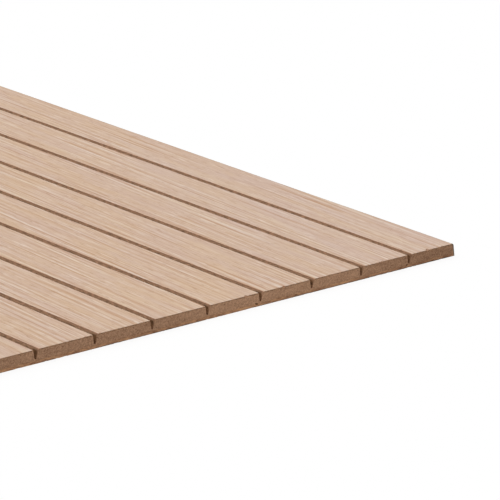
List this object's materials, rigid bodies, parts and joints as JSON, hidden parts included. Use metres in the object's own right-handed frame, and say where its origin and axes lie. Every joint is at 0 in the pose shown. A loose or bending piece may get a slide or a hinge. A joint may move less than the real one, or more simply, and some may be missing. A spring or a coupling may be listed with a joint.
{
  "type": "tambour wall panel",
  "caption": "Flat oak-veneered fibreboard wall panel. Narrow tapered grooves along its length divide the face into slats, and its plain back is glued to a wall.",
  "frame": {"origin": "middle of the back face, on the surface that the panel lies on", "axes": "+X across the slats, +Y along the slats, +Z out of the oak face"},
  "size_m": [0.6, 2.4, 0.0058],
  "materials": {
    "oak": "matte",
    "fibreboard": "matte",
    "backing": "matte"
  },
  "bodies": {
    "root": {"backing_veneer": "backing", "mdf_core": "fibreboard", "oak_strip_01": "oak", "oak_strip_02": "oak", "oak_strip_03": "oak", "oak_strip_04": "oak", "oak_strip_05": "oak", "oak_strip_06": "oak", "oak_strip_07": "oak", "oak_strip_08": "oak", "oak_strip_09": "oak", "oak_strip_10": "oak", "oak_strip_11": "oak", "oak_strip_12": "oak", "oak_strip_13": "oak", "oak_strip_14": "oak", "oak_strip_15": "oak", "oak_strip_16": "oak", "oak_strip_17": "oak", "oak_strip_18": "oak", "oak_strip_19": "oak", "oak_strip_20": "oak"}
  },
  "joints": []
}
